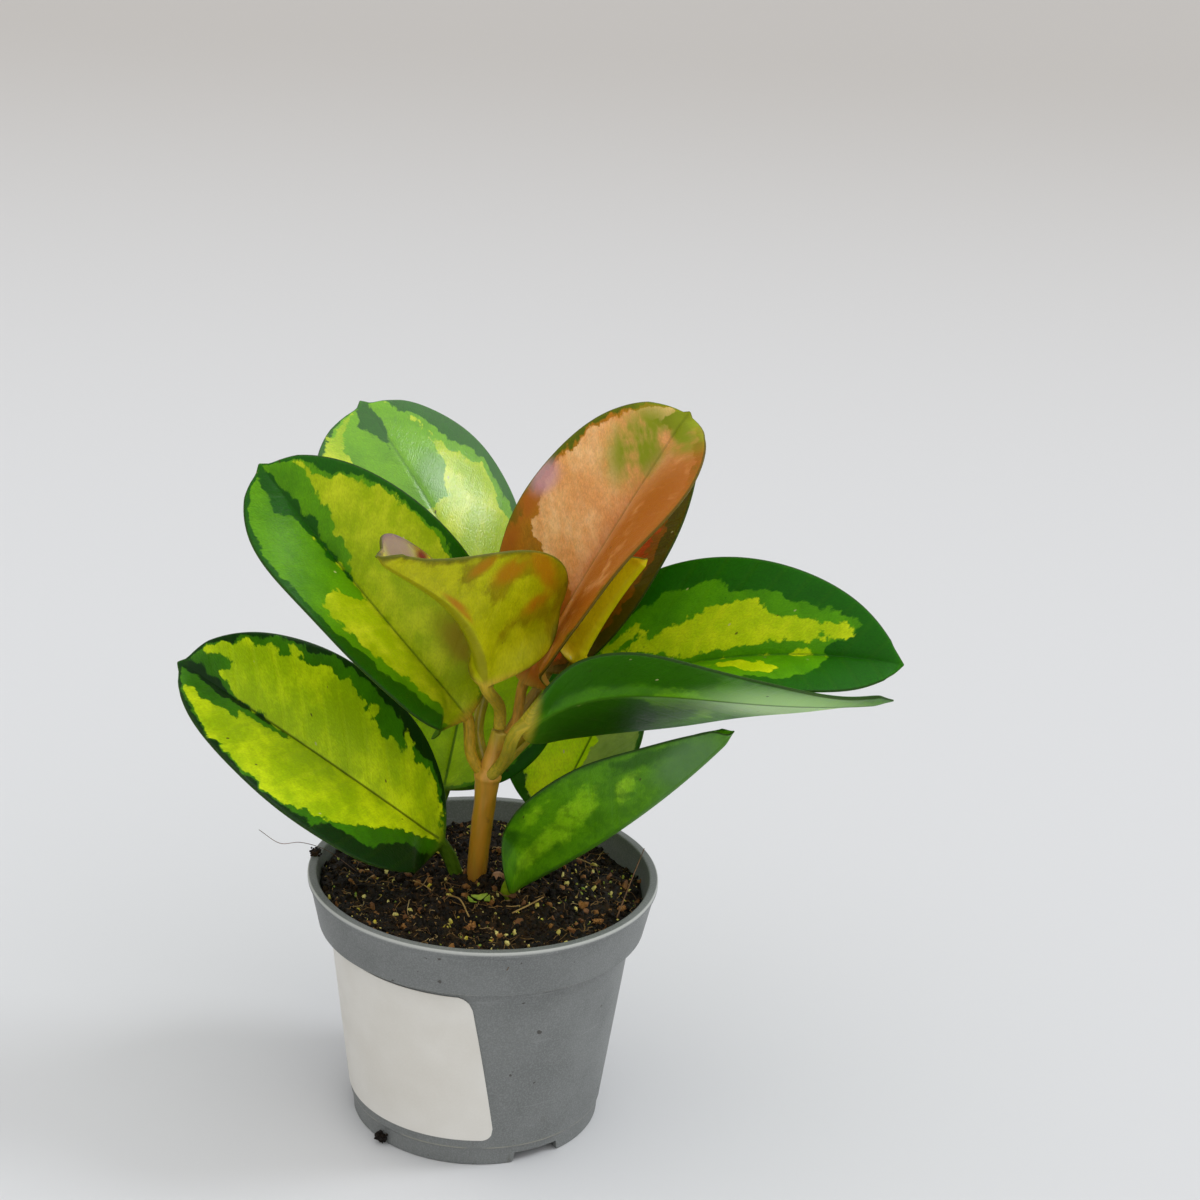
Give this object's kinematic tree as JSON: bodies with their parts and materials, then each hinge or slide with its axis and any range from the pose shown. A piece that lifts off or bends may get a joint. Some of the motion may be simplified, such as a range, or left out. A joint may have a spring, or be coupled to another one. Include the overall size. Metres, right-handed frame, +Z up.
{
  "type": "potted tricolor wax plant",
  "caption": "Young wax plant with thick patterned green, yellow and salmon leaves, rooted in soil in a small grey nursery pot with a blank label.",
  "frame": {"origin": "bottom centre of the whole plant's bounding box, on the surface that the pot stands on", "axes": "+Z up, square to the pot's foot; -Y is the front, where the label's right edge and the small folded leaf face; +X is to the right seen from the front"},
  "size_m": [0.119, 0.0644, 0.127],
  "materials": {
    "pot": "matte moulded grey polypropylene with specks of dirt",
    "label": "smooth off-white sticker, blank",
    "soil": "moist dark peat with pale granules and fibres",
    "stem": "smooth young stem, ochre brown, pinker above the node",
    "stub": "dry cut end",
    "leaf_low_left": "waxy leaf, lime middle with a dark green margin",
    "leaf_upper_left": "waxy leaf, yellow-green middle with a dark green margin",
    "leaf_top_left": "waxy leaf, bright green and yellow with a dark green margin",
    "leaf_salmon": "waxy young leaf, salmon with olive patches",
    "leaf_orange": "waxy young leaf, burnt orange with an olive margin",
    "leaf_folded": "waxy folded young leaf, olive and orange",
    "leaf_front_small": "waxy folded young leaf, olive yellow with orange-brown streaks",
    "leaf_right_upper": "waxy leaf, yellow middle with a broad dark green margin",
    "leaf_right_mid": "waxy leaf, dark green underside",
    "leaf_right_low": "waxy leaf, mid-green underside",
    "leaf_back_stem": "waxy leaf, mid-green",
    "leaf_back_right": "waxy leaf, yellow-green with a grey-green fold"
  },
  "bodies": {
    "root": {"pot": "pot", "label": "label", "soil": "soil", "stem": "stem", "stub": "stub", "leaf_low_left": "leaf_low_left", "leaf_upper_left": "leaf_upper_left", "leaf_top_left": "leaf_top_left", "leaf_salmon": "leaf_salmon", "leaf_orange": "leaf_orange", "leaf_folded": "leaf_folded", "leaf_front_small": "leaf_front_small", "leaf_right_upper": "leaf_right_upper", "leaf_right_mid": "leaf_right_mid", "leaf_right_low": "leaf_right_low", "leaf_back_stem": "leaf_back_stem", "leaf_back_right": "leaf_back_right"}
  },
  "joints": []
}
